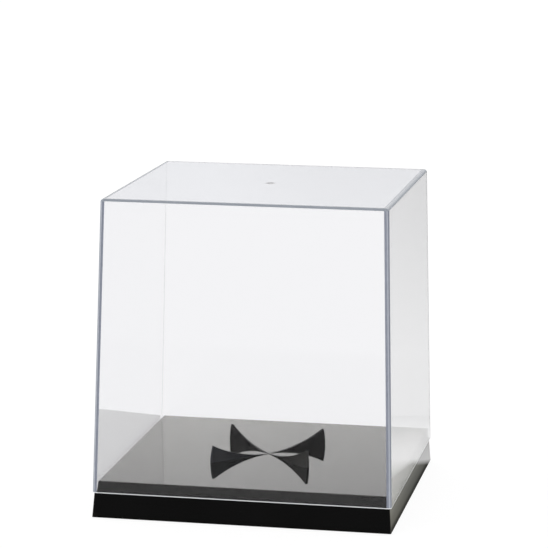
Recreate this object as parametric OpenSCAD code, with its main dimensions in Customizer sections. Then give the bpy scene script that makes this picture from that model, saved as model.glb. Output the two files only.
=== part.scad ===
// Football display case: a clear drafted cover over a gloss black base, whose deck
// carries a four-armed cradle that keeps the ball from rolling.
// Millimetres. +Z is up, the origin is the middle of the footprint, the front faces -Y.

/* [Base] */
// Width of the square base at its lower edge
base_w = 260; // [240:1:300]
// Width of the square base at the ledge, where its skirt ends
skirt_top_w = 256.7; // [236:0.1:299]
// Height of the skirt, from its lower edge to the ledge
skirt_h = 21.6; // [15:0.1:40]
// Width of the plinth where it leaves the ledge
plinth_w = 252.9; // [232:0.1:296]
// Width of the deck on top of the plinth
deck_w = 250.7; // [230:0.1:294]
// Height of the deck above the ledge
plinth_h = 9.9; // [6:0.1:20]
// Wall thickness of the base moulding
base_wall = 2.5; // [2:0.1:3]
// Radius of the base's upright corners
base_corner_r = 1; // [0.9:0.1:5]

/* [Cover] */
// Outer width of the cover at its open lower rim
cover_w = 259.4; // [238:0.1:300]
// Outer width of the cover at its top
cover_top_w = 246.3; // [225:0.1:290]
// Height of the cover, from its rim to its top
cover_h = 254.6; // [240:0.1:320]
// Wall thickness of the cover
cover_wall = 2.5; // [1.5:0.1:2.9]
// Outer radius of the cover's edges and corners
cover_edge_r = 2.8; // [1:0.1:6]
// Inner radius of the cover's edges and corners
cover_inner_r = 0.7; // [0.5:0.1:3.5]
// Diameter of the round gate mark in the middle of the cover's top
gate_d = 9; // [4:0.5:16]

/* [Cradle] */
// Thickness of the two crossed cradle plates
cradle_t = 2.5; // [1.5:0.1:4]
// Distance from the middle of the deck to the tip of an arm
tip_r = 59.5; // [45:0.5:75]
// Height of a tip above the deck
tip_h = 15.2; // [8:0.1:20]
// Distance from the middle of the deck to the foot of an arm
arm_foot_r = 61.7; // [48:0.1:78]
// Height of the plates above the deck where they cross
cross_h = 0.3; // [0.2:0.1:2]
// Depth of a plate's tongue below the deck
tongue_depth = 8.5; // [6:0.5:14]

/* [Feet] */
// Diameter of the rubber feet
foot_d = 12; // [8:0.5:16]
// Thickness of the rubber feet
foot_t = 2; // [1.5:0.1:4]
// Height that the feet stand proud of the skirt's lower edge
foot_proud = 0.8; // [0.5:0.1:1.4]
// Distance from the middle of the base to a foot, along X and along Y
foot_xy = 115; // [100:1:115]

/* [Hidden] */

ledge_z = foot_proud + skirt_h;
deck_z = ledge_z + plinth_h;
slice = 0.01;              // thickness of the slices that a drafted block is hulled from
edge_r = 0.8;              // small fillet on the moulding's horizontal edges
wall_draft = 0.6;          // how much narrower the underside cavity is at its roof
rib_t = 1.6;               // underside ribs
rib_h = 10;
rib_xy = 50;               // distance of the ribs from the middle
slot_gap = 0.1;            // clearance of a plate on each side of its slot
slot_w = cradle_t + 2 * slot_gap;
tongue_r = arm_foot_r - 3.7;
socket_wall = 1.6;         // wall around the crossed slots, below the deck
socket_r = tongue_r + slot_gap + socket_wall;
tongue_z = deck_z - tongue_depth;
lap_z = deck_z - tongue_depth / 2;
bowl_r = (tip_r * tip_r + pow(tip_h - cross_h, 2)) / (2 * (tip_h - cross_h));
lean = arm_foot_r - tip_r;
arm_end_r = (tip_h * tip_h + lean * lean) / (2 * lean);
boss_d = foot_d + 4;
gate_depth = 0.4;

// A flat square slice with rounded corners, standing on z.
module slab(w, r, z) {
    translate([0, 0, z]) linear_extrude(slice) offset(r, $fn = 48) square(w - 2 * r, center = true);
}

// A square block that narrows from w0 to w1, with round upright corners and a round top edge.
module drafted_block(w0, w1, h, r, top_r) {
    hull() {
        slab(w0, r, 0);
        for (a = [0 : 15 : 90]) {
            inset = top_r * (1 - cos(a));
            slab(w1 - 2 * inset, r - inset * 0.9, h - slice - top_r * (1 - sin(a)));
        }
    }
}

// The skirt, ledge and plinth in one black moulding, hollow below, with a crossed slot in its deck.
module base() {
    skirt_roof = skirt_h - base_wall;
    color("#141414") {
        difference() {
            union() {
                translate([0, 0, foot_proud]) drafted_block(base_w, skirt_top_w, skirt_h, base_corner_r, edge_r);
                translate([0, 0, ledge_z - edge_r])
                    drafted_block(plinth_w, deck_w, plinth_h + edge_r, base_corner_r, edge_r);
            }
            translate([0, 0, foot_proud - slice])
                drafted_block(base_w - 2 * base_wall, skirt_top_w - 2 * base_wall - wall_draft, skirt_roof,
                    base_corner_r, edge_r);
            translate([0, 0, foot_proud + skirt_roof - 2 * edge_r])
                drafted_block(plinth_w - 2 * base_wall - wall_draft, deck_w - 2 * base_wall - wall_draft,
                    plinth_h + 2 * edge_r, base_corner_r, edge_r);
            crossed_slot();
        }
        difference() {
            union() {
                underside_ribs();
                crossed_socket();
            }
            crossed_slot();
        }
        foot_bosses();
    }
}

// The slot that both plates' tongues drop into.
module crossed_slot() {
    for (a = [45, -45])
        rotate([0, 0, a])
            translate([-tongue_r - slot_gap, -slot_w / 2, tongue_z - 1])
                cube([2 * (tongue_r + slot_gap), slot_w, tongue_depth + 2]);
}

// The walls below the deck that grip the tongues.
module crossed_socket() {
    socket_w = slot_w + 2 * socket_wall;
    for (a = [45, -45])
        rotate([0, 0, a])
            translate([-socket_r, -socket_w / 2, tongue_z])
                cube([2 * socket_r, socket_w, tongue_depth - base_wall / 2]);
}

// Four ribs across the underside of the deck.
module underside_ribs() {
    rib_l = deck_w - base_wall;
    for (a = [0, 90], s = [-1, 1])
        rotate([0, 0, a])
            translate([-rib_l / 2, s * rib_xy - rib_t / 2, deck_z - base_wall - rib_h])
                cube([rib_l, rib_t, rib_h + base_wall / 2]);
}

// A column in each corner of the underside, with a shallow seat for its rubber foot.
module foot_bosses() {
    seat_depth = foot_t - foot_proud;
    for (x = [-foot_xy, foot_xy], y = [-foot_xy, foot_xy])
        translate([x, y, foot_proud])
            difference() {
                cylinder(h = deck_z - foot_proud - base_wall / 2, d = boss_d, $fn = 64);
                translate([0, 0, -slice]) cylinder(h = seat_depth + slice, d = foot_d + 0.4, $fn = 64);
            }
}

// The outline of a cradle plate, in the plate's own plane: X along the diagonal, Y up.
module plate_outline() {
    difference() {
        union() {
            translate([-tongue_r, tongue_z]) square([2 * tongue_r, tongue_depth + cross_h]);
            translate([0, deck_z])
                for (m = [0, 1])
                    mirror([m, 0])
                        intersection() {
                            square([arm_foot_r, tip_h]);
                            translate([arm_foot_r - arm_end_r, 0]) circle(arm_end_r, $fn = 180);
                        }
        }
        translate([0, deck_z + cross_h + bowl_r]) circle(bowl_r, $fn = 360);
    }
}

module plate_blank() {
    rotate([90, 0, 0]) linear_extrude(cradle_t, center = true) plate_outline();
}

// The front-left to back-right plate, notched from above.
module cradle_plate_lower() {
    color("#1b1b1d")
        rotate([0, 0, 45])
            difference() {
                plate_blank();
                translate([-slot_w / 2, -cradle_t, lap_z]) cube([slot_w, 2 * cradle_t, tongue_depth]);
            }
}

// The front-right to back-left plate, notched from below, half-lapped over the other.
module cradle_plate_upper() {
    color("#1b1b1d")
        rotate([0, 0, -45])
            difference() {
                plate_blank();
                translate([-slot_w / 2, -cradle_t, lap_z - tongue_depth]) cube([slot_w, 2 * cradle_t, tongue_depth]);
            }
}

// The clear cover: four drafted walls and a top in one moulding, open below.
module clear_cover() {
    inner_w = cover_w - 2 * cover_wall;
    inner_top_w = cover_top_w - 2 * cover_wall;
    color("#dfe8f0", 0.35)
        translate([0, 0, ledge_z])
            difference() {
                drafted_block(cover_w, cover_top_w, cover_h, cover_edge_r, cover_edge_r);
                translate([0, 0, -slice]) drafted_block(inner_w, inner_top_w, cover_h - cover_wall,
                    cover_inner_r, cover_inner_r);
                translate([0, 0, cover_h - gate_depth]) cylinder(h = 1, d = gate_d, $fn = 64);
            }
}

// One rubber foot, seated in its boss, with a softened lower edge.
module foot(x, y) {
    foot_edge = 0.4;
    color("#2a2a2c")
        translate([x * foot_xy, y * foot_xy, 0])
            rotate_extrude($fn = 64)
                polygon([
                    [0, 0], [foot_d / 2 - foot_edge, 0], [foot_d / 2, foot_edge],
                    [foot_d / 2, foot_t], [0, foot_t],
                ]);
}

base();
cradle_plate_lower();
cradle_plate_upper();
clear_cover();
foot(-1, -1);  // foot_front_left
foot(1, -1);  // foot_front_right
foot(-1, 1);  // foot_back_left
foot(1, 1);  // foot_back_right
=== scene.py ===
"""Football display case: a clear drafted cover on a gloss black base with a crossed cradle.

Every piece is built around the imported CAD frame, in metres, and rides on the frame's bodies.
"""

import math

import bmesh
import bpy
from mathutils import Matrix, Vector


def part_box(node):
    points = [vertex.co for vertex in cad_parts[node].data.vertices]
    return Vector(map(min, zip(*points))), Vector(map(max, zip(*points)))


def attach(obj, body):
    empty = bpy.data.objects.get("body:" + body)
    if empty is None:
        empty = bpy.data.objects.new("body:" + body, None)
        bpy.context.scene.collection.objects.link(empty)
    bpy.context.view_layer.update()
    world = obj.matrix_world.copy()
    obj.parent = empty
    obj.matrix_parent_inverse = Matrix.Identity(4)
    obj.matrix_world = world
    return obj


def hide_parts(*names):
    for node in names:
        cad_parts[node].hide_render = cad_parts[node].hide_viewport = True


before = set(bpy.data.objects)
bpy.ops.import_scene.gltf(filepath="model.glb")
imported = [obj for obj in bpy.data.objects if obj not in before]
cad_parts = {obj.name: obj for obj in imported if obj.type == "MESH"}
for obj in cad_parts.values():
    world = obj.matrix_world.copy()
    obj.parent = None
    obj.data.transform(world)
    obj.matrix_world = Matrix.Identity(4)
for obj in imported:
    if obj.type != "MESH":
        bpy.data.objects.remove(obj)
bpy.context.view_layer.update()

MM = 0.001

# ---------------------------------------------------------------------------
# Sizes, from the frame and the same driving dimensions as the CAD source
# ---------------------------------------------------------------------------
base_low, base_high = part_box("base")
cover_low, cover_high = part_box("clear_cover")
plate_low, plate_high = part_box("cradle_plate_upper")
FEET = ("foot_front_left", "foot_front_right", "foot_back_left", "foot_back_right")

SKIRT_Z = base_low.z                      # lower edge of the skirt
LEDGE_Z = cover_low.z                     # where the cover stands
DECK_Z = base_high.z
TOP_Z = cover_high.z
SKIRT_HALF = base_high.x
SKIRT_DRAFT = 1.65 * MM
SKIRT_TOP_HALF = SKIRT_HALF - SKIRT_DRAFT
PLINTH_HALF = 126.45 * MM
DECK_HALF = 125.35 * MM
BASE_WALL = 2.5 * MM
BASE_CORNER_R = 1.0 * MM
BASE_EDGE_R = 0.8 * MM
BASE_RIM_R = 0.3 * MM                     # softening of the skirt's foot and of the ledge's inner corner

COVER_HALF = cover_high.x
COVER_DRAFT = 6.55 * MM
COVER_TOP_HALF = COVER_HALF - COVER_DRAFT
COVER_WALL = 2.5 * MM
COVER_EDGE_R = 2.8 * MM
COVER_INNER_R = 0.7 * MM
COVER_RIM_R = 0.25 * MM
SIDE_BAND = 3.9 * MM                      # width of the band of painted shade and glint beside the cover's corners
TOP_BAND = 1.8 * MM                       # height of the band of painted shade below its top
TOP_BORDER = 4.4 * MM                     # width of the border of paler painted shade on the top
RIM_BAND = 0.8 * MM                       # height of the band of painted whitish highlight at its lower rim
GATE_R = 4.5 * MM
GATE_DEPTH = 0.25 * MM

PLATE_T = 2.5 * MM
SLOT_GAP = 0.1 * MM
TIP_R = 59.5 * MM
ARM_FOOT_R = 61.7 * MM
CROSS_H = 0.3 * MM
TIP_H = plate_high.z - DECK_Z
TONGUE_Z = plate_low.z
TONGUE_INSET = 3.7 * MM
TONGUE_R = ARM_FOOT_R - TONGUE_INSET
LAP_Z = (DECK_Z + TONGUE_Z) / 2
PLATE_BEVEL = 0.25 * MM

RIB_T = 1.6 * MM
RIB_H = 10 * MM
RIB_XY = 50 * MM                          # distance of the ribs from the middle
SOCKET_WALL = 1.6 * MM
SUNK = 1.2 * MM                           # how far ribs, sockets and bosses reach into the roof above them
BOSS_WALL = 2 * MM
FOOT_GAP = 0.2 * MM
FOOT_EDGE_R = 0.4 * MM

CORNER_STEPS = 14                         # segments in each rounded corner
FILLET_STEPS = 10                         # segments in each rounded edge
BOWL_STEPS = 57                           # segments in the cradle's hollow
BOSS_STEPS = 64
FOOT_STEPS = 72
SLACK = 0.05 * MM                         # tolerance when faces are picked by their place


# ---------------------------------------------------------------------------
# Mesh helpers
# ---------------------------------------------------------------------------
def rounded_square(half, z, radius):
    """Points of a square with rounded corners, anticlockwise, with one more point each side of a corner."""
    radius = max(radius, 0.02 * MM)
    band = max(SIDE_BAND, 1.2 * radius)
    corner = [Vector((half, half - band, z))]
    for i in range(CORNER_STEPS + 1):
        a = i / CORNER_STEPS * math.pi / 2
        corner.append(Vector((half - radius + radius * math.cos(a), half - radius + radius * math.sin(a), z)))
    corner.append(Vector((half - band, half, z)))
    return [
        Matrix.Rotation(quarter * math.pi / 2, 3, "Z") @ point
        for quarter in range(4)
        for point in corner
    ]


def ring_circle(radius, z):
    """A circle with as many points as a rounded square, matched quarter by quarter."""
    count = 4 * (CORNER_STEPS + 3)
    return [
        Vector((
            radius * math.cos(2 * math.pi * (i + 0.5) / count),
            radius * math.sin(2 * math.pi * (i + 0.5) / count),
            z,
        ))
        for i in range(count)
    ]


def skin(rings):
    """A closed mesh over rings of equally many points, with a flat cap on the first and the last."""
    bm = bmesh.new()
    loops = [[bm.verts.new(p) for p in ring] for ring in rings]
    count = len(loops[0])
    for low, high in zip(loops, loops[1:]):
        for i in range(count):
            j = (i + 1) % count
            bm.faces.new((low[i], low[j], high[j], high[i]))
    bm.faces.new(list(reversed(loops[0])))
    bm.faces.new(loops[-1])
    bmesh.ops.recalc_face_normals(bm, faces=bm.faces)
    return bm


def new_object(name, bm):
    """An object made of the mesh, in the scene."""
    mesh = bpy.data.meshes.new(name)
    bm.to_mesh(mesh)
    bm.free()
    obj = bpy.data.objects.new(name, mesh)
    bpy.context.scene.collection.objects.link(obj)
    return obj


def apply_modifiers(obj):
    """Replaces the object's mesh with its evaluated one."""
    depsgraph = bpy.context.evaluated_depsgraph_get()
    mesh = bpy.data.meshes.new_from_object(obj.evaluated_get(depsgraph))
    obj.modifiers.clear()
    obj.data = mesh


def combine(obj, tool, operation):
    """Boolean of obj with a tool object, which is then removed."""
    modifier = obj.modifiers.new("combine", "BOOLEAN")
    modifier.operation = operation
    modifier.solver = "EXACT"
    modifier.object = tool
    apply_modifiers(obj)
    bpy.data.objects.remove(tool)


def shade(obj, angle=35):
    """Smooth shading that keeps flat faces flat and edges past the angle sharp."""
    for polygon in obj.data.polygons:
        polygon.use_smooth = True
    obj.data.set_sharp_from_angle(angle=math.radians(angle))
    weighted = obj.modifiers.new("flat faces stay flat", "WEIGHTED_NORMAL")
    weighted.weight = 100
    weighted.keep_sharp = True
    apply_modifiers(obj)
    return obj


def box_object(name, size, centre, turn=0.0):
    """A plain block used as a boolean tool, turned about Z through the origin."""
    bm = bmesh.new()
    bmesh.ops.create_cube(bm, size=1.0)
    bmesh.ops.scale(bm, vec=Vector(size), verts=bm.verts)
    bmesh.ops.translate(bm, vec=Vector(centre), verts=bm.verts)
    bmesh.ops.rotate(bm, cent=(0, 0, 0), matrix=Matrix.Rotation(turn, 3, "Z"), verts=bm.verts)
    return new_object(name, bm)


def lathe(profile, segments, centre):
    """A closed mesh of revolution: profile points are (radius, z), from the lower axis to the upper."""
    bm = bmesh.new()
    rings = []
    for radius, z in profile:
        if radius == 0:
            rings.append([bm.verts.new((centre[0], centre[1], z))])
        else:
            rings.append([
                bm.verts.new((
                    centre[0] + radius * math.cos(2 * math.pi * i / segments),
                    centre[1] + radius * math.sin(2 * math.pi * i / segments),
                    z,
                ))
                for i in range(segments)
            ])
    for low, high in zip(rings, rings[1:]):
        for i in range(segments):
            j = (i + 1) % segments
            if len(low) == 1:
                bm.faces.new((low[0], high[j], high[i]))
            elif len(high) == 1:
                bm.faces.new((low[i], low[j], high[0]))
            else:
                bm.faces.new((low[i], low[j], high[j], high[i]))
    bmesh.ops.recalc_face_normals(bm, faces=bm.faces)
    return bm


def arc(centre, radius, start, end, steps):
    """Points along an arc in a plane, angles in degrees."""
    return [
        (
            centre[0] + radius * math.cos(math.radians(start + (end - start) * i / steps)),
            centre[1] + radius * math.sin(math.radians(start + (end - start) * i / steps)),
        )
        for i in range(steps + 1)
    ]


# ---------------------------------------------------------------------------
# Materials
# ---------------------------------------------------------------------------
CLEAR_TINT = (0.935, 0.935, 0.944, 1.0)
CLEAR_IOR = 1.57
SOFT_GLINT = (0.25, 0.25, 0.25, 1.0)      # keeps head-on reflections in the cover faint
BLACK_IOR = 1.52
BLACK_GLINT = (1.0, 0.995, 0.965, 1.0)
PAINTED_LIGHT_FRONT = 40 * MM                      # how far in front of the middle the painted light of a front colour is reached


def new_material(name):
    """A material with one Principled shader, as (material, nodes, links, shader)."""
    material = bpy.data.materials.new(name)
    material.use_nodes = True
    nodes, links = material.node_tree.nodes, material.node_tree.links
    nodes.clear()
    output = nodes.new("ShaderNodeOutputMaterial")
    shader = nodes.new("ShaderNodeBsdfPrincipled")
    links.new(shader.outputs["BSDF"], output.inputs["Surface"])
    return material, nodes, links, shader


def object_noise(nodes, links, scale, detail):
    """Noise that is fixed to the piece, with its scale in waves per metre."""
    place = nodes.new("ShaderNodeTexCoord")
    noise = nodes.new("ShaderNodeTexNoise")
    noise.inputs["Scale"].default_value = scale
    noise.inputs["Detail"].default_value = detail
    links.new(place.outputs["Object"], noise.inputs["Vector"])
    return noise


def ranged(nodes, links, source, low, high, from_low=0.3, from_high=0.7):
    """Maps a value from one span onto another. The default span is the middle of a noise."""
    node = nodes.new("ShaderNodeMapRange")
    node.inputs["From Min"].default_value = from_low
    node.inputs["From Max"].default_value = from_high
    node.inputs["To Min"].default_value = low
    node.inputs["To Max"].default_value = high
    links.new(source, node.inputs["Value"])
    return node.outputs["Result"]


def ramp(nodes, links, source, stops):
    """A colour ramp over stops of (position, grey) or (position, colour)."""
    node = nodes.new("ShaderNodeValToRGB")
    elements = node.color_ramp.elements
    while len(elements) < len(stops):
        elements.new(0.5)
    for element, (position, tone) in zip(elements, stops):
        element.position = position
        element.color = (*tone, 1.0) if isinstance(tone, tuple) else (tone, tone, tone, 1.0)
    links.new(source, node.inputs["Fac"])
    return node.outputs["Color"]


def mixed(nodes, links, factor, a, b, blend="MIX"):
    """Mixes two colours, each an output socket or a fixed colour."""
    node = nodes.new("ShaderNodeMix")
    node.data_type = "RGBA"
    node.blend_type = blend
    for socket, value in (("A", a), ("B", b)):
        if isinstance(value, tuple):
            node.inputs[socket].default_value = value
        else:
            links.new(value, node.inputs[socket])
    if isinstance(factor, float):
        node.inputs["Factor"].default_value = factor
    else:
        links.new(factor, node.inputs["Factor"])
    return node.outputs["Result"]


def separated(nodes, links, place):
    """The X, Y and Z of a place."""
    split = nodes.new("ShaderNodeSeparateXYZ")
    links.new(place, split.inputs["Vector"])
    return split.outputs["X"], split.outputs["Y"], split.outputs["Z"]


def bumped(nodes, links, shader, height, strength, distance):
    """Lets a height disturb the shader's normal."""
    bump = nodes.new("ShaderNodeBump")
    bump.inputs["Strength"].default_value = strength
    bump.inputs["Distance"].default_value = distance
    links.new(height, bump.inputs["Height"])
    links.new(bump.outputs["Normal"], shader.inputs["Normal"])


def clear_plastic():
    """Injection-moulded clear styrene, crisp and very faintly blue."""
    material, nodes, links, shader = new_material("clear_plastic")
    shader.inputs["Base Color"].default_value = CLEAR_TINT
    shader.inputs["Transmission Weight"].default_value = 1.0
    shader.inputs["Roughness"].default_value = 0.0
    shader.inputs["IOR"].default_value = CLEAR_IOR
    shader.inputs["Specular Tint"].default_value = SOFT_GLINT
    add_moulded_ripple(nodes, links, shader)
    return material


def painted_edge_plastic(name, colour, transmission, roughness):
    """The same moulding with painted light on its outside: a skin whose colour is painted shade or painted
    highlight, with fine moulding grain.

    From inside the plastic the skin is as clear as the rest.
    """
    material, nodes, links, shader = new_material(name)
    grain = object_noise(nodes, links, 260.0, detail=2.0)
    grained = ranged(nodes, links, grain.outputs["Fac"], 0.0, 1.0)
    darker = (*[0.92 * c for c in colour], 1.0)
    # The skin's painted shade or painted highlight, with a random grain.
    painted_skin_tone = mixed(nodes, links, grained, darker, (*colour, 1.0))
    inside = nodes.new("ShaderNodeNewGeometry").outputs["Backfacing"]
    links.new(mixed(nodes, links, inside, painted_skin_tone, CLEAR_TINT), shader.inputs["Base Color"])
    clearness = ranged(nodes, links, inside, transmission, 1.0, 0.0, 1.0)
    links.new(clearness, shader.inputs["Transmission Weight"])
    shader.inputs["Roughness"].default_value = roughness
    shader.inputs["IOR"].default_value = CLEAR_IOR
    shader.inputs["Specular Tint"].default_value = SOFT_GLINT
    add_moulded_ripple(nodes, links, shader)
    return material


def add_moulded_ripple(nodes, links, shader):
    """The faint waviness of moulded faces."""
    ripple = object_noise(nodes, links, 9.0, detail=1.0)
    bumped(nodes, links, shader, ripple.outputs["Fac"], 0.05, 0.4 * MM)


def gloss_black_plastic(name, colour, roughness_low, roughness_high, specular_level, lit_front_colour=None):
    """Polished black moulding: near-mirror gloss with faint moulding waves and fine rub marks.

    With a lit front colour, the piece fades to it from the middle to PAINTED_LIGHT_FRONT in front of the
    middle: painted light, lighter towards the front.
    """
    material, nodes, links, shader = new_material(name)
    grain = object_noise(nodes, links, 900.0, detail=2.0)
    drift = object_noise(nodes, links, 14.0, detail=2.0)
    drifted = ranged(nodes, links, drift.outputs["Fac"], 0.0, 1.0)
    lighter = (*[1.5 * c for c in colour], 1.0)
    tone = mixed(nodes, links, drifted, (*colour, 1.0), lighter)
    # Painted light: the piece is lighter towards the front.
    if lit_front_colour is not None:
        place = nodes.new("ShaderNodeTexCoord").outputs["Object"]
        _, y, _ = separated(nodes, links, place)
        backward = ranged(nodes, links, y, 0.0, 1.0, -PAINTED_LIGHT_FRONT, 0.0)
        tone = mixed(nodes, links, backward, (*lit_front_colour, 1.0), tone)
    links.new(tone, shader.inputs["Base Color"])
    rubbed = ranged(nodes, links, grain.outputs["Fac"], roughness_low, roughness_high)
    links.new(rubbed, shader.inputs["Roughness"])
    shader.inputs["IOR"].default_value = BLACK_IOR
    shader.inputs["Specular IOR Level"].default_value = specular_level
    shader.inputs["Specular Tint"].default_value = BLACK_GLINT
    bumped(nodes, links, shader, drift.outputs["Fac"], 0.02, 0.3 * MM)
    return material


def dark_rubber():
    """Matte moulded rubber with a fine grain."""
    material, nodes, links, shader = new_material("dark_rubber")
    grain = object_noise(nodes, links, 1500.0, detail=4.0)
    tone = mixed(nodes, links, grain.outputs["Fac"], (0.018, 0.018, 0.019, 1.0), (0.035, 0.035, 0.037, 1.0))
    links.new(tone, shader.inputs["Base Color"])
    links.new(ranged(nodes, links, grain.outputs["Fac"], 0.65, 0.9), shader.inputs["Roughness"])
    bumped(nodes, links, shader, grain.outputs["Fac"], 0.4, 0.1 * MM)
    return material


CLEAR = clear_plastic()
# Painted light on the cover's outside: painted shade on the upright edges, a painted glint beside it, painted
# shade on the top edge and its border, a painted whitish highlight on the rim.
PAINTED_SHADE_EDGE = painted_edge_plastic("clear_plastic_edge", (0.265, 0.285, 0.345), 0.1, 0.15)
PAINTED_GLINT_EDGE = painted_edge_plastic("clear_plastic_edge_glint", (0.50, 0.53, 0.60), 0.1, 0.15)
PAINTED_SHADE_TOP_EDGE = painted_edge_plastic("clear_plastic_top_edge", (0.37, 0.40, 0.45), 0.15, 0.15)
PAINTED_SHADE_BORDER = painted_edge_plastic("clear_plastic_border", (0.45, 0.48, 0.53), 0.5, 0.1)
PAINTED_HIGHLIGHT_RIM = painted_edge_plastic("clear_plastic_rim", (0.90, 0.92, 0.94), 0.15, 0.4)
BLACK = gloss_black_plastic("black_gloss_plastic", (0.002, 0.002, 0.0021), 0.012, 0.03, 0.5)
SATIN_BLACK = gloss_black_plastic("black_side_plastic", (0.002, 0.002, 0.0021), 0.03, 0.06, 0.40)
# Two copies of one black plastic with different painted light at the front and different specular levels.
CRADLE_LOWER = gloss_black_plastic(
    "black_cradle_plastic_lower", (0.003, 0.003, 0.0034), 0.08, 0.14, 0.3, (0.042, 0.045, 0.054),
)
CRADLE_UPPER = gloss_black_plastic(
    "black_cradle_plastic_upper", (0.003, 0.003, 0.0034), 0.08, 0.14, 0.17, (0.060, 0.060, 0.056),
)
RUBBER = dark_rubber()


def dress(obj, materials, slot, body, *nodes):
    """Gives a finished piece its materials, body and the CAD nodes it stands for. The slot is not used."""
    indices = [polygon.material_index for polygon in obj.data.polygons]
    obj.data.materials.clear()
    for material in materials:
        obj.data.materials.append(material)
    for polygon, index in zip(obj.data.polygons, indices):
        polygon.material_index = index
    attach(obj, body)
    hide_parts(*nodes)


# ---------------------------------------------------------------------------
# Clear cover
# ---------------------------------------------------------------------------
def edge_fillet(half, z, radius, corner_r):
    """Stations of a rounded top edge, as (half width, height, corner radius), from wall to flat."""
    return [
        (half - radius + radius * math.cos(a), z - radius + radius * math.sin(a),
         corner_r - radius + radius * math.cos(a))
        for a in [math.pi / 2 * i / FILLET_STEPS for i in range(FILLET_STEPS + 1)]
    ]


EDGE_SLOT, EDGE_GLINT_SLOT, TOP_EDGE_SLOT, TOP_BORDER_SLOT, RIM_SLOT = 1, 2, 3, 4, 5
# How much an edge face has to face front or back to get the painted glint: it is turned 18 to 42 degrees.
GLINT_FACING = (math.cos(math.radians(42)), math.cos(math.radians(18)))


def cover_half_at(z):
    """Outer half width of the cover's drafted wall at a height."""
    return COVER_HALF + (COVER_TOP_HALF - COVER_HALF) * (z - LEDGE_Z) / (TOP_Z - COVER_EDGE_R - LEDGE_Z)


def make_cover():
    """Outer wall, top with its gate mark, then back down the inner wall to the rim."""
    inner_half = COVER_HALF - COVER_WALL
    inner_top_half = COVER_TOP_HALF - COVER_WALL
    ceiling_z = TOP_Z - COVER_WALL
    rim_z = LEDGE_Z + RIM_BAND

    outer = [
        (COVER_HALF - COVER_RIM_R, LEDGE_Z, COVER_EDGE_R - COVER_RIM_R),
        (COVER_HALF - 0.3 * COVER_RIM_R, LEDGE_Z + 0.3 * COVER_RIM_R, COVER_EDGE_R),
        (cover_half_at(LEDGE_Z + COVER_RIM_R), LEDGE_Z + COVER_RIM_R, COVER_EDGE_R),
        (cover_half_at(rim_z), rim_z, COVER_EDGE_R),
    ]
    outer += edge_fillet(COVER_TOP_HALF, TOP_Z, COVER_EDGE_R, COVER_EDGE_R)
    outer.append((COVER_TOP_HALF - TOP_BORDER, TOP_Z, 0.2 * COVER_EDGE_R))
    inner = [
        (inner_half + COVER_RIM_R, LEDGE_Z, COVER_INNER_R + COVER_RIM_R),
        (inner_half + 0.3 * COVER_RIM_R, LEDGE_Z + 0.3 * COVER_RIM_R, COVER_INNER_R),
        (inner_half, LEDGE_Z + COVER_RIM_R, COVER_INNER_R),
    ]
    inner += edge_fillet(inner_top_half, ceiling_z, COVER_INNER_R, COVER_INNER_R)

    gate = [
        (GATE_R, TOP_Z),
        (GATE_R - 0.5 * MM, TOP_Z - 0.15 * GATE_DEPTH),
        (GATE_R - 1.2 * MM, TOP_Z - 0.5 * GATE_DEPTH),
        (GATE_R - 2.0 * MM, TOP_Z - 0.85 * GATE_DEPTH),
        (1.8 * MM, TOP_Z - GATE_DEPTH),
        (1.2 * MM, TOP_Z - 0.9 * GATE_DEPTH),
        (0.6 * MM, TOP_Z - 0.8 * GATE_DEPTH),
    ]
    rings = [rounded_square(h, z, r) for h, z, r in reversed(inner)]
    rings += [rounded_square(h, z, r) for h, z, r in outer]
    rings += [ring_circle(r, z) for r, z in gate]
    obj = new_object("cover_shell", skin(rings))
    return shade(obj)


def finish_cover_edges(obj):
    """Gives the outer edges, the border of the top and the rim their painted shade and painted highlights."""
    for polygon in obj.data.polygons:
        x, y, z = polygon.center
        reach, other = max(abs(x), abs(y)), min(abs(x), abs(y))
        outer = cover_half_at(z) - reach < 0.5 * COVER_WALL or z > TOP_Z - 0.5 * COVER_WALL
        if z < LEDGE_Z + RIM_BAND and (outer or z < LEDGE_Z + 2 * SLACK):
            polygon.material_index = RIM_SLOT
        elif outer and polygon.normal.z > 0.98 and reach > COVER_TOP_HALF - TOP_BORDER + SLACK:
            polygon.material_index = TOP_BORDER_SLOT
        elif outer and z > TOP_Z - TOP_BAND and reach > COVER_TOP_HALF - COVER_EDGE_R:
            polygon.material_index = TOP_EDGE_SLOT
        elif outer and z < TOP_Z - SLACK and other > cover_half_at(z) - SIDE_BAND + SLACK:
            glint = GLINT_FACING[0] < abs(polygon.normal.y) < GLINT_FACING[1]
            polygon.material_index = EDGE_GLINT_SLOT if glint else EDGE_SLOT


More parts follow.
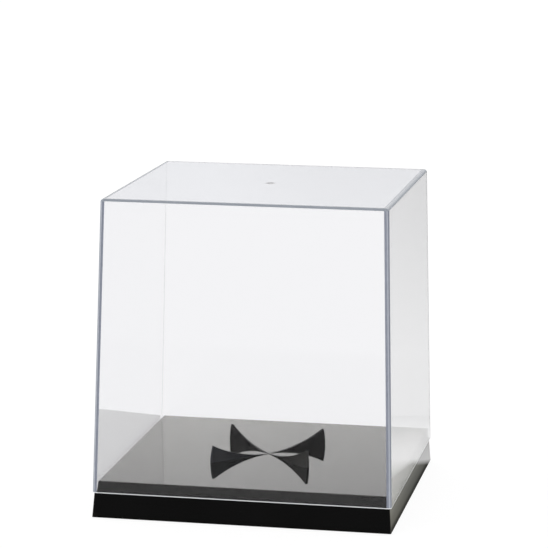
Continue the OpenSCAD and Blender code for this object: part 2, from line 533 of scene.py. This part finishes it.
# ---------------------------------------------------------------------------
# Base moulding
# ---------------------------------------------------------------------------
def make_base():
    """The moulding, hollow below, then its ribs, sockets and bosses, then the crossed slot."""
    step_z = LEDGE_Z - BASE_WALL
    roof_z = DECK_Z - BASE_WALL
    outer = [
        (SKIRT_HALF - BASE_RIM_R, SKIRT_Z, BASE_CORNER_R),
        (SKIRT_HALF - 0.3 * BASE_RIM_R, SKIRT_Z + 0.3 * BASE_RIM_R, BASE_CORNER_R),
        (SKIRT_HALF - 0.02 * SKIRT_DRAFT, SKIRT_Z + BASE_RIM_R, BASE_CORNER_R),
    ]
    outer += edge_fillet(SKIRT_TOP_HALF, LEDGE_Z, BASE_EDGE_R, BASE_CORNER_R)
    outer += [
        (PLINTH_HALF + BASE_RIM_R, LEDGE_Z, BASE_CORNER_R),
        (PLINTH_HALF + 0.3 * BASE_RIM_R, LEDGE_Z + 0.3 * BASE_RIM_R, BASE_CORNER_R),
        (PLINTH_HALF, LEDGE_Z + BASE_RIM_R, BASE_CORNER_R),
    ]
    outer += edge_fillet(DECK_HALF, DECK_Z, BASE_EDGE_R, BASE_CORNER_R)
    inner = [
        (SKIRT_HALF - BASE_WALL, SKIRT_Z, BASE_CORNER_R),
        (SKIRT_TOP_HALF - BASE_WALL, step_z, BASE_CORNER_R),
        (PLINTH_HALF - BASE_WALL, step_z, BASE_CORNER_R),
        (DECK_HALF - BASE_WALL, roof_z, BASE_CORNER_R),
    ]
    rings = [rounded_square(h, z, r) for h, z, r in reversed(inner)]
    rings += [rounded_square(h, z, r) for h, z, r in outer]
    obj = new_object("base_moulding", skin(rings))

    rib_l = 2 * (DECK_HALF - BASE_WALL + SUNK)
    slot_w = PLATE_T + 2 * SLOT_GAP
    socket_r = TONGUE_R + SLOT_GAP + SOCKET_WALL
    for side in (-1, 1):
        size = (rib_l, RIB_T, RIB_H + SUNK)
        centre = (0, side * RIB_XY, roof_z - RIB_H + (RIB_H + SUNK) / 2)
        combine(obj, box_object("rib", size, centre), "UNION")
        size = (RIB_T, rib_l, RIB_H + SUNK)
        centre = (side * RIB_XY, 0, centre[2])
        combine(obj, box_object("rib", size, centre), "UNION")
        size = (2 * socket_r, slot_w + 2 * SOCKET_WALL, roof_z + SUNK - TONGUE_Z)
        centre = (0, 0, (roof_z + SUNK + TONGUE_Z) / 2)
        combine(obj, box_object("socket", size, centre, side * math.pi / 4), "UNION")
    for foot in FEET:
        low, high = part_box(foot)
        centre = (low + high) / 2
        radius = (high.x - low.x) / 2
        boss_r = radius + BOSS_WALL
        seat_r = radius + FOOT_GAP
        boss = lathe([
            (0, high.z), (seat_r, high.z), (seat_r, SKIRT_Z), (boss_r - BASE_RIM_R, SKIRT_Z),
            (boss_r, SKIRT_Z + BASE_RIM_R), (boss_r, roof_z + SUNK), (0, roof_z + SUNK),
        ], BOSS_STEPS, centre)
        combine(obj, new_object("boss", boss), "UNION")
    for turn in (math.pi / 4, -math.pi / 4):
        size = (2 * (TONGUE_R + SLOT_GAP), slot_w, DECK_Z - TONGUE_Z + 4 * MM)
        centre = (0, 0, (DECK_Z + TONGUE_Z) / 2)
        combine(obj, box_object("slot", size, centre, turn), "DIFFERENCE")
    return shade(obj)


PLINTH_SIDE_SLOT = 1


def finish_plinth_sides(obj):
    """Gives the plinth's upright sides the less polished finish."""
    for polygon in obj.data.polygons:
        x, y, z = polygon.center
        upright = abs(polygon.normal.z) < 0.3
        if upright and z > LEDGE_Z + 2 * SLACK and max(abs(x), abs(y)) > DECK_HALF - 10 * SLACK:
            polygon.material_index = PLINTH_SIDE_SLOT


# ---------------------------------------------------------------------------
# Cradle plates
# ---------------------------------------------------------------------------
def plate_outline(notch_from_above):
    """Outline in the plate's plane: x along the diagonal, y up, anticlockwise."""
    rise = TIP_H - CROSS_H
    bowl_r = (TIP_R ** 2 + rise ** 2) / (2 * rise)
    bowl_z = DECK_Z + CROSS_H + bowl_r
    lean = ARM_FOOT_R - TIP_R
    end_r = (TIP_H ** 2 + lean ** 2) / (2 * lean)
    end_x = ARM_FOOT_R - end_r
    end_angle = math.degrees(math.asin(TIP_H / end_r))
    tip_angle = math.degrees(math.asin(TIP_R / bowl_r))
    notch = PLATE_T / 2 + SLOT_GAP
    notch_angle = math.degrees(math.asin(notch / bowl_r))
    half_steps = BOWL_STEPS // 2

    right_end = arc((end_x, DECK_Z), end_r, 0, end_angle, FILLET_STEPS)
    left_end = [(-x, z) for x, z in reversed(right_end)]
    points = [(-TONGUE_R, TONGUE_Z)]
    if not notch_from_above:
        points += [(-notch, TONGUE_Z), (-notch, LAP_Z), (notch, LAP_Z), (notch, TONGUE_Z)]
    points += [(TONGUE_R, TONGUE_Z), (TONGUE_R, DECK_Z)]
    points += right_end
    if notch_from_above:
        points += arc((0, bowl_z), bowl_r, -90 + tip_angle, -90 + notch_angle, half_steps)[1:]
        points += [(notch, LAP_Z), (-notch, LAP_Z)]
        points += arc((0, bowl_z), bowl_r, -90 - notch_angle, -90 - tip_angle, half_steps)[:-1]
    else:
        points += arc((0, bowl_z), bowl_r, -90 + tip_angle, -90 - tip_angle, BOWL_STEPS)[1:-1]
    points += left_end
    points += [(-TONGUE_R, DECK_Z)]
    return points


def make_plate(name, notch_from_above, turn):
    """A cradle plate along a diagonal, with its long edges softened."""
    bm = bmesh.new()
    half = PLATE_T / 2
    outline = plate_outline(notch_from_above)
    front = [bm.verts.new((x, -half, z)) for x, z in outline]
    back = [bm.verts.new((x, half, z)) for x, z in outline]
    bm.faces.new(front)
    bm.faces.new(list(reversed(back)))
    count = len(outline)
    for i in range(count):
        j = (i + 1) % count
        bm.faces.new((front[j], front[i], back[i], back[j]))
    bmesh.ops.recalc_face_normals(bm, faces=bm.faces)
    bmesh.ops.rotate(bm, cent=(0, 0, 0), matrix=Matrix.Rotation(turn, 3, "Z"), verts=bm.verts)
    obj = new_object(name, bm)
    bevel = obj.modifiers.new("soft edges", "BEVEL")
    bevel.width = PLATE_BEVEL
    bevel.segments = 3
    bevel.limit_method = "ANGLE"
    bevel.angle_limit = math.radians(40)
    apply_modifiers(obj)
    return shade(obj, 50)


# ---------------------------------------------------------------------------
# Feet
# ---------------------------------------------------------------------------
def make_foot(node):
    """A round rubber foot with a softened lower edge and a shallow dish below."""
    low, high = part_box(node)
    centre = (low + high) / 2
    radius = (high.x - low.x) / 2
    profile = [(0, 0.15 * MM), (0.45 * radius, 0.12 * MM), (0.6 * radius, 0)]
    profile += [
        (radius - FOOT_EDGE_R + x, FOOT_EDGE_R + z) for x, z in arc((0, 0), FOOT_EDGE_R, -90, 0, 6)
    ]
    profile += [(radius, high.z), (0, high.z)]
    obj = new_object(node.replace("foot", "rubber_foot"), lathe(profile, FOOT_STEPS, centre))
    return shade(obj)


cover = make_cover()
finish_cover_edges(cover)
dress(
    cover, [CLEAR, PAINTED_SHADE_EDGE, PAINTED_GLINT_EDGE, PAINTED_SHADE_TOP_EDGE, PAINTED_SHADE_BORDER, PAINTED_HIGHLIGHT_RIM],
    "clear_plastic", "cover", "clear_cover",
)
base = make_base()
finish_plinth_sides(base)
dress(base, [BLACK, SATIN_BLACK], "black_gloss_plastic", "base", "base")
for name, notch_from_above, turn, material in (
    ("lower", True, math.pi / 4, CRADLE_LOWER),
    ("upper", False, -math.pi / 4, CRADLE_UPPER),
):
    plate = make_plate("cradle_" + name, notch_from_above, turn)
    dress(plate, [material], "black_cradle_plastic", "base", "cradle_plate_" + name)
for foot_node in FEET:
    dress(make_foot(foot_node), [RUBBER], "dark_rubber", "base", foot_node)


# ---------------------------------------------------------------------------
# Stage: floor, surroundings and camera
# ---------------------------------------------------------------------------
FLOOR_HALF = 40.0
FLOOR_GLOW = 0.90


def make_floor():
    """A large pale floor whose glow evens out the light. Reflections show the card and the room instead."""
    bm = bmesh.new()
    bmesh.ops.create_grid(bm, x_segments=1, y_segments=1, size=FLOOR_HALF)
    floor = new_object("floor", bm)
    material, _, _, shader = new_material("pale_floor")
    shader.inputs["Base Color"].default_value = (0.15, 0.15, 0.15, 1.0)
    shader.inputs["Roughness"].default_value = 1.0
    shader.inputs["Specular IOR Level"].default_value = 0.0
    shader.inputs["Emission Color"].default_value = (1.0, 1.0, 1.0, 1.0)
    shader.inputs["Emission Strength"].default_value = FLOOR_GLOW
    floor.data.materials.append(material)
    floor.visible_glossy = False


# The reflection card's glow, a painted reflection of the table with a painted shadow beside the base: its
# tones and, in metres from the middle, where each begins and ends.
CARD_HALF_X, CARD_HALF_Y = 0.5, 0.46
CARD_CENTRE = (0, -0.14, -0.0005)
CARD_FRONT = (0.08, 0.08, 0.08, 1.0)
# Painted shadow beside the base: darkest next to it, lighter further out, and lighter towards the front.
CARD_BESIDE = [(0.0, 0.05), (0.06, 0.09), (0.10, 0.23), (0.16, 0.27), (0.22, 0.35), (0.40, 0.46), (0.8, 0.6)]
CARD_BESIDE_FRONT = (1.24, 1.22, 1.06, 1.0)
CARD_BESIDE_BACK = (0.96, 0.96, 0.88, 1.0)
CARD_BEHIND = [(0.0, 1.12), (0.25, 1.05), (0.5, 0.9), (0.75, 0.72), (1.0, 0.6)]
BESIDE_X = (0.130, 0.180)
BESIDE_FADE_Y = (-0.07, 0.04)
BEHIND_Y = (0.13, 0.33)
FRONT_END_Y = (-0.175, -0.145)
BACK_END_Y = (0.118, 0.140)
BACK_END_OUTER_Y = 0.045                  # where the light behind begins, further out from the base
BACK_END_X = (0.35, 0.62)                 # the part of BESIDE_X over which that start moves


def make_card():
    """A sheet seen only in gloss, a painted reflection of the table near the case: dim in front, a painted
    shadow beside it, light behind it.
    """
    bm = bmesh.new()
    bmesh.ops.create_grid(bm, x_segments=1, y_segments=1, size=1.0)
    bmesh.ops.scale(bm, vec=(CARD_HALF_X, CARD_HALF_Y, 1.0), verts=bm.verts)
    bmesh.ops.translate(bm, vec=CARD_CENTRE, verts=bm.verts)
    card = new_object("painted_reflection_card", bm)
    material = bpy.data.materials.new("painted_reflection_card")
    material.use_nodes = True
    nodes, links = material.node_tree.nodes, material.node_tree.links
    nodes.clear()
    output = nodes.new("ShaderNodeOutputMaterial")
    glow = nodes.new("ShaderNodeEmission")
    x, y, _ = separated(nodes, links, nodes.new("ShaderNodeTexCoord").outputs["Object"])
    out_from_base = nodes.new("ShaderNodeMath")
    out_from_base.operation = "ABSOLUTE"
    links.new(x, out_from_base.inputs[0])
    outward = ranged(nodes, links, out_from_base.outputs["Value"], 0.0, 1.0, *BESIDE_X)
    backward = ranged(nodes, links, y, 0.0, 1.0, *BEHIND_Y)
    further_back = ranged(nodes, links, y, 0.0, 1.0, *BESIDE_FADE_Y)
    warmth = mixed(nodes, links, further_back, CARD_BESIDE_FRONT, CARD_BESIDE_BACK)
    beside = mixed(nodes, links, 1.0, ramp(nodes, links, outward, CARD_BESIDE), warmth, "MULTIPLY")
    behind = ramp(nodes, links, backward, CARD_BEHIND)
    past_front = ranged(nodes, links, y, 0.0, 1.0, *FRONT_END_Y)
    past_back = ranged(nodes, links, y, 0.0, 1.0, *BACK_END_Y)
    back_start = ranged(nodes, links, outward, BACK_END_Y[0], BACK_END_OUTER_Y, *BACK_END_X)
    links.new(back_start, past_back.node.inputs["From Min"])
    front_tone = mixed(nodes, links, past_front, CARD_FRONT, beside)
    tone = mixed(nodes, links, past_back, front_tone, behind)
    links.new(tone, glow.inputs["Color"])
    links.new(glow.outputs["Emission"], output.inputs["Surface"])
    card.data.materials.append(material)
    card.visible_camera = False
    card.visible_diffuse = False
    card.visible_transmission = False
    card.visible_shadow = False


# Light from each height of the sky, 0 at the horizon and 1 overhead.
SKY = [
    (0.0, (0.30, 0.30, 0.31)), (0.12, (0.76, 0.77, 0.80)), (0.16, (0.79, 0.80, 0.83)),
    (0.225, (1.62, 1.60, 1.55)), (0.27, (1.20, 1.19, 1.17)), (0.45, (1.10, 1.10, 1.10)),
    (1.0, (1.0, 1.0, 1.0)),
]
# How much of it comes from each side, from the left at 0 to the right at 1, over ACROSS_X of the direction.
SKY_ACROSS = [(0.0, 1.03), (0.09, 1.05), (0.16, 0.98), (0.22, 0.955), (0.60, 0.82)]
ACROSS_X = (-0.25, 0.25)
# The room below the horizon: its tone when looking down to each of ROOM_Z, and from front to back.
ROOM_TONES = (0.70, 0.43)
ROOM_Z = (-0.20, -0.13)
ROOM_FRONT_TO_BACK = (0.2, 1.0)
ROOM_Y = (-0.6, 0.9)


def make_surroundings():
    """Soft light from above, fading to a dim room near the horizon and in front."""
    world = bpy.data.worlds.new("studio")
    bpy.context.scene.world = world
    world.use_nodes = True
    nodes, links = world.node_tree.nodes, world.node_tree.links
    nodes.clear()
    output = nodes.new("ShaderNodeOutputWorld")
    background = nodes.new("ShaderNodeBackground")
    x, y, z = separated(nodes, links, nodes.new("ShaderNodeTexCoord").outputs["Generated"])
    across = ranged(nodes, links, x, 0.0, 1.0, *ACROSS_X)
    rightward = ramp(nodes, links, across, SKY_ACROSS)
    bright = mixed(nodes, links, 1.0, ramp(nodes, links, z, SKY), rightward, "MULTIPLY")
    depth = ranged(nodes, links, z, *ROOM_TONES, *ROOM_Z)
    behind = ranged(nodes, links, y, *ROOM_FRONT_TO_BACK, *ROOM_Y)
    down = mixed(nodes, links, 1.0, depth, behind, "MULTIPLY")
    above = nodes.new("ShaderNodeMath")
    above.operation = "GREATER_THAN"
    above.inputs[1].default_value = 0.0
    links.new(z, above.inputs[0])
    links.new(mixed(nodes, links, above.outputs["Value"], down, bright), background.inputs["Color"])
    links.new(background.outputs["Background"], output.inputs["Surface"])


CAMERA_AZIMUTH = math.radians(10.651)
CAMERA_ELEVATION = math.radians(10.2225)
CAMERA_ROLL = math.radians(0.359)
CAMERA_DISTANCE = 2.3309
CAMERA_TARGET = Vector((3.70 * MM, 0, SKIRT_Z + 195.15 * MM))
CAMERA_LENS = 172.77


def make_camera():
    """Long lens, from the front and a little to the right, looking slightly down."""
    back = Vector((
        math.sin(CAMERA_AZIMUTH) * math.cos(CAMERA_ELEVATION),
        -math.cos(CAMERA_AZIMUTH) * math.cos(CAMERA_ELEVATION),
        math.sin(CAMERA_ELEVATION),
    ))
    data = bpy.data.cameras.new("camera")
    data.sensor_width = 36.0
    data.lens = CAMERA_LENS
    data.clip_end = 200.0
    camera = bpy.data.objects.new("camera", data)
    camera.location = CAMERA_TARGET + back * CAMERA_DISTANCE
    turn = (-back).to_track_quat("-Z", "Y").to_matrix() @ Matrix.Rotation(CAMERA_ROLL, 3, "Z")
    camera.rotation_euler = turn.to_euler()
    bpy.context.scene.collection.objects.link(camera)
    bpy.context.scene.camera = camera


make_floor()
make_card()
make_surroundings()
make_camera()
bpy.context.scene.view_settings.view_transform = "Standard"
